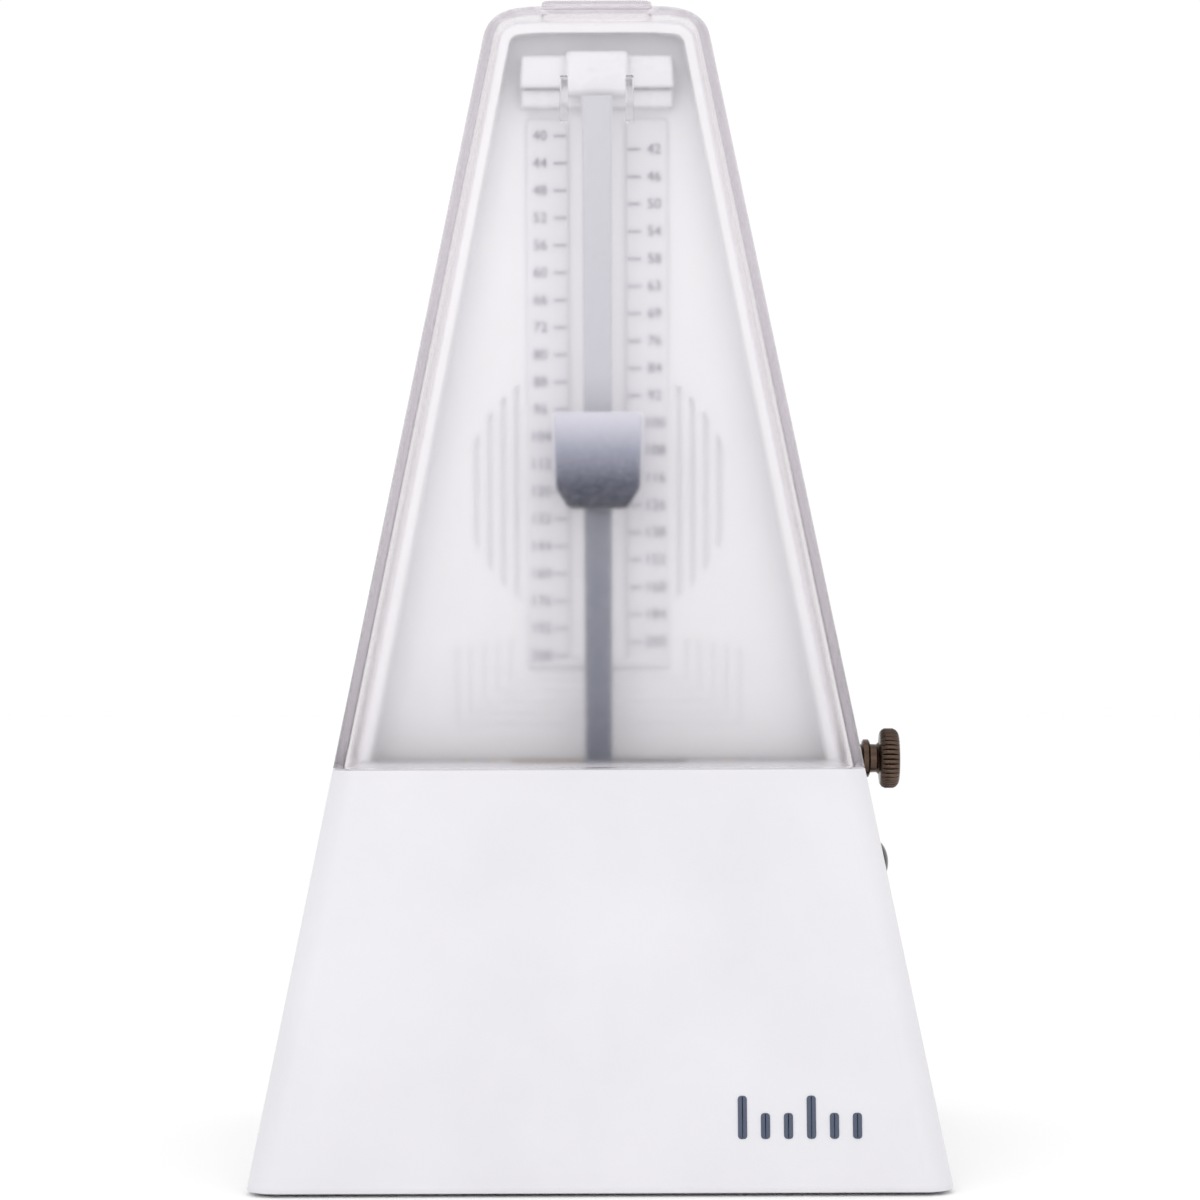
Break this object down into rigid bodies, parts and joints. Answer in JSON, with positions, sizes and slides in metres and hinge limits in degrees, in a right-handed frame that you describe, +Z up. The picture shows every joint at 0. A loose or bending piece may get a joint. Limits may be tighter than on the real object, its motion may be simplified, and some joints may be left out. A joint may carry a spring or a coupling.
{
  "type": "mechanical metronome",
  "caption": "Wind-up pyramid metronome with a clear front cover, swinging rod, sliding tempo weight, bell selector and side key.",
  "frame": {"origin": "centre of the square base, on the plane under the feet", "axes": "+Z up the height, front and cover towards -Y, winding key towards +X"},
  "size_m": [0.1236, 0.1236, 0.2145],
  "materials": {
    "case_plastic": "satin",
    "base_plastic": "matte",
    "cover_clear": "satin",
    "panel_plastic": "satin",
    "scale_metal": "satin",
    "scale_ink": "matte",
    "holder_plastic": "gloss",
    "rod_metal": "satin",
    "weight_metal": "satin",
    "key_bronze": "satin",
    "knob_black": "gloss",
    "foot_rubber": "matte",
    "brass": "satin",
    "steel": "satin",
    "spring_steel": "satin",
    "bell_metal": "polished",
    "bob_iron": "matte",
    "mark_ink": "matte"
  },
  "bodies": {
    "case": {"case_shell": "case_plastic", "base_plate": "base_plastic", "base_screws": "steel", "rubber_feet": "foot_rubber", "face_panel": "panel_plastic", "panel_screws": "steel", "scale_plate": "scale_metal", "scale_marks": "scale_ink", "pendulum_holder": "holder_plastic", "holder_screws": "steel", "movement_plate_left": "brass", "movement_plate_right": "brass", "movement_pillars": "steel", "pillar_screws": "steel", "movement_screws": "steel", "verge_front_bracket": "brass", "verge_rear_bracket": "brass", "escape_bracket": "brass", "bracket_screws": "steel", "bell": "bell_metal", "bell_post": "steel", "bell_nut": "steel", "click_screw": "steel", "click_spring": "spring_steel", "key_bushing": "brass", "selector_bushing": "brass", "beat_mark": "mark_ink"},
    "cover": {"front_cover": "cover_clear"},
    "winding": {"winding_key": "key_bronze", "winding_arbor": "steel", "ratchet_wheel": "steel"},
    "barrel": {"barrel_drum": "brass", "barrel_lid": "brass", "mainspring": "spring_steel"},
    "second": {"second_arbor": "steel", "second_pinion": "steel", "second_wheel": "brass", "bell_cam": "steel"},
    "escape": {"escape_arbor": "steel", "escape_pinion": "steel", "crown_wheel": "brass"},
    "pendulum": {"pendulum_rod": "rod_metal", "pendulum_hub": "brass", "rod_rivets": "steel", "verge_arbor": "steel", "verge_pallets": "steel", "lower_bob": "bob_iron"},
    "weight": {"tempo_weight": "weight_metal", "weight_spring": "spring_steel"},
    "selector": {"selector_rod": "steel", "selector_knob": "knob_black", "selector_yoke": "steel", "carrier_rod": "steel"},
    "hammer": {"hammer_arm": "spring_steel", "hammer_head": "steel"},
    "click": {"click": "steel"}
  },
  "joints": [
    {"name": "pendulum_swing", "type": "hinge", "parent": "case", "child": "pendulum", "pos_m": [0, -0.0143, 0.046], "axis": [0, 1, 0], "range_deg": [-5, 5]},
    {"name": "weight_slide", "type": "slide", "parent": "pendulum", "child": "weight", "axis": [0, 0, 1], "range_m": [-0.0451, 0.0524]},
    {"name": "cover_tilt", "type": "hinge", "parent": "case", "child": "cover", "pos_m": [0, -0.0474, 0.0738], "axis": [1, 0, 0], "range_deg": [0, 35]},
    {"name": "key_wind", "type": "hinge", "parent": "case", "child": "winding", "pos_m": [0, 0.014, 0.073], "axis": [1, 0, 0], "continuous": true},
    {"name": "barrel_turn", "type": "hinge", "parent": "case", "child": "barrel", "pos_m": [0, 0.014, 0.073], "axis": [1, 0, 0], "continuous": true},
    {"name": "second_turn", "type": "hinge", "parent": "case", "child": "second", "pos_m": [0, 0.0221, 0.05693], "axis": [1, 0, 0], "continuous": true},
    {"name": "escape_turn", "type": "hinge", "parent": "case", "child": "escape", "pos_m": [0, 0.014, 0.046], "axis": [1, 0, 0], "continuous": true},
    {"name": "selector_pull", "type": "slide", "parent": "case", "child": "selector", "axis": [1, 0, 0], "range_m": [0, 0.01]},
    {"name": "hammer_rock", "type": "hinge", "parent": "selector", "child": "hammer", "pos_m": [0, 0.0375, 0.064], "axis": [1, 0, 0], "range_deg": [0, 8], "stiffness_Nm_per_rad": 0.004, "springref_deg": -5.73},
    {"name": "click_lift", "type": "hinge", "parent": "case", "child": "click", "pos_m": [0.0265, 0.0234, 0.0721], "axis": [-1, 0, 0], "range_deg": [0, 8], "stiffness_Nm_per_rad": 0.002, "springref_deg": -5.73}
  ],
  "couplings": [
    {"joint": "second_turn", "follows": "barrel_turn", "ratio": -5},
    {"joint": "escape_turn", "follows": "barrel_turn", "ratio": 37.5}
  ]
}
